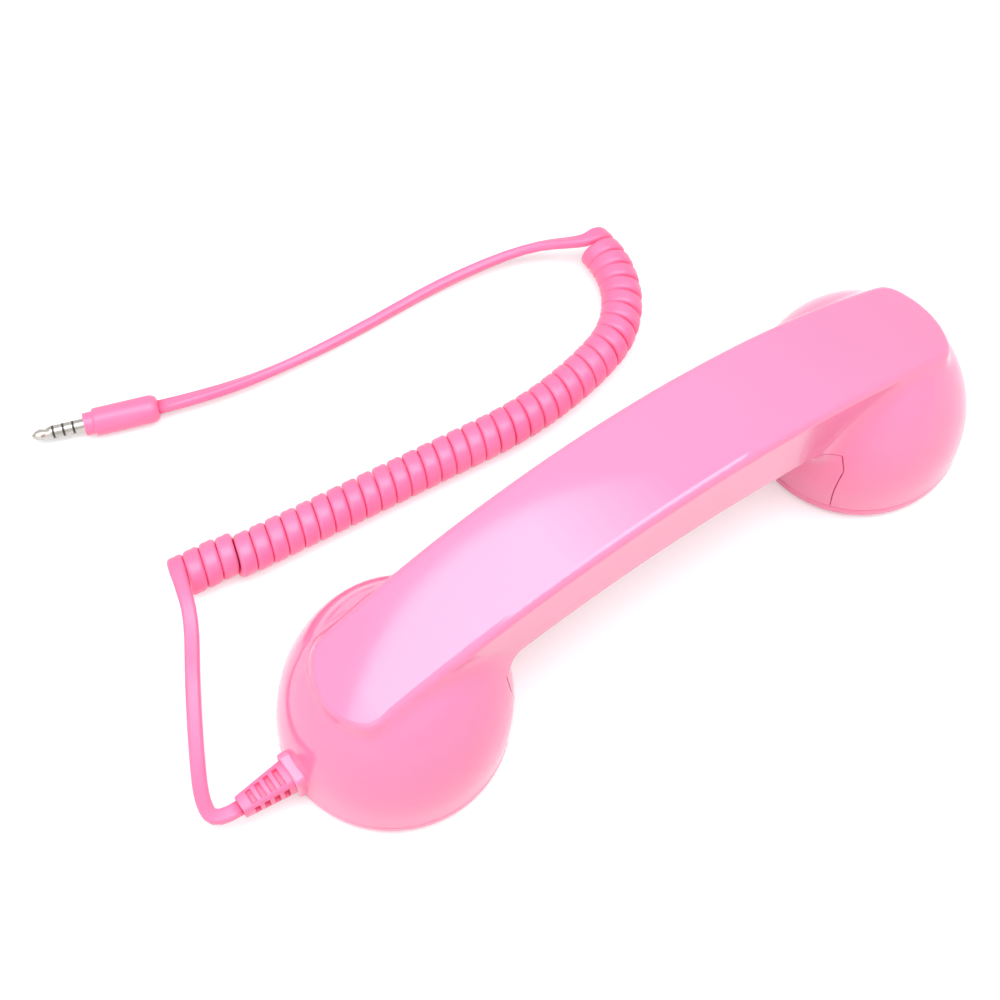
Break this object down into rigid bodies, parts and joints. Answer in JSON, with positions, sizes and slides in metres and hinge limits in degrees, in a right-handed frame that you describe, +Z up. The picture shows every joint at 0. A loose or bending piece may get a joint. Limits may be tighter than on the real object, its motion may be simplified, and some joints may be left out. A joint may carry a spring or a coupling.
{
  "type": "telephone handset with curly cord and jack plug",
  "caption": "Gloss retro telephone handset with arched handle, round ear and mouth caps, press keys under the handle, curly cord and audio jack plug.",
  "frame": {"origin": "on the floor under the middle of the handset, between the two caps", "axes": "+X along the handset towards the earpiece, +Z up out of its back, cord on the -X end"},
  "size_m": [0.2298, 0.1507, 0.0617],
  "materials": {
    "casing_gloss": "gloss",
    "button_plastic": "satin",
    "switch_plastic": "matte",
    "cord_sheath": "satin",
    "nickel": "polished",
    "insulator_black": "matte",
    "steel": "plain",
    "frame_plastic": "matte",
    "cone_film": "satin",
    "foam": "matte",
    "felt": "matte",
    "board_green": "satin",
    "lead_sheath": "satin"
  },
  "bodies": {
    "handset": {"main_shell": "casing_gloss", "inner_cover": "casing_gloss", "earpiece_cap": "casing_gloss", "mouthpiece_cap": "casing_gloss", "switch_bodies": "switch_plastic", "strain_relief": "cord_sheath", "cord_lead": "cord_sheath", "cord_coil": "cord_sheath", "cord_tail": "cord_sheath", "plug_boot": "cord_sheath", "plug_sleeve": "nickel", "plug_ring_1": "nickel", "plug_ring_2": "nickel", "plug_tip": "nickel", "plug_insulators": "insulator_black", "cover_screws": "steel", "board_screws": "steel", "weight_screws": "steel", "handle_weight": "steel", "receiver_magnet": "steel", "microphone_capsule": "steel", "receiver_frame": "frame_plastic", "receiver_cone": "cone_film", "receiver_gasket": "foam", "earpiece_dust_screen": "felt", "mouthpiece_dust_screen": "felt", "microphone_boot": "foam", "button_board": "board_green", "cord_harness": "lead_sheath", "microphone_lead": "lead_sheath", "receiver_lead": "lead_sheath"},
    "volume_down_key": {"volume_down_button": "button_plastic", "volume_down_plunger": "switch_plastic"},
    "answer_key": {"answer_button": "button_plastic", "answer_plunger": "switch_plastic"},
    "volume_up_key": {"volume_up_button": "button_plastic", "volume_up_plunger": "switch_plastic"}
  },
  "joints": [
    {"name": "volume_down_press", "type": "slide", "parent": "handset", "child": "volume_down_key", "axis": [0, 0, 1], "range_m": [0, 0.0006], "stiffness_N_per_m": 2500},
    {"name": "answer_press", "type": "slide", "parent": "handset", "child": "answer_key", "axis": [0, 0, 1], "range_m": [0, 0.0006], "stiffness_N_per_m": 2500},
    {"name": "volume_up_press", "type": "slide", "parent": "handset", "child": "volume_up_key", "axis": [0, 0, 1], "range_m": [0, 0.0006], "stiffness_N_per_m": 2500}
  ]
}
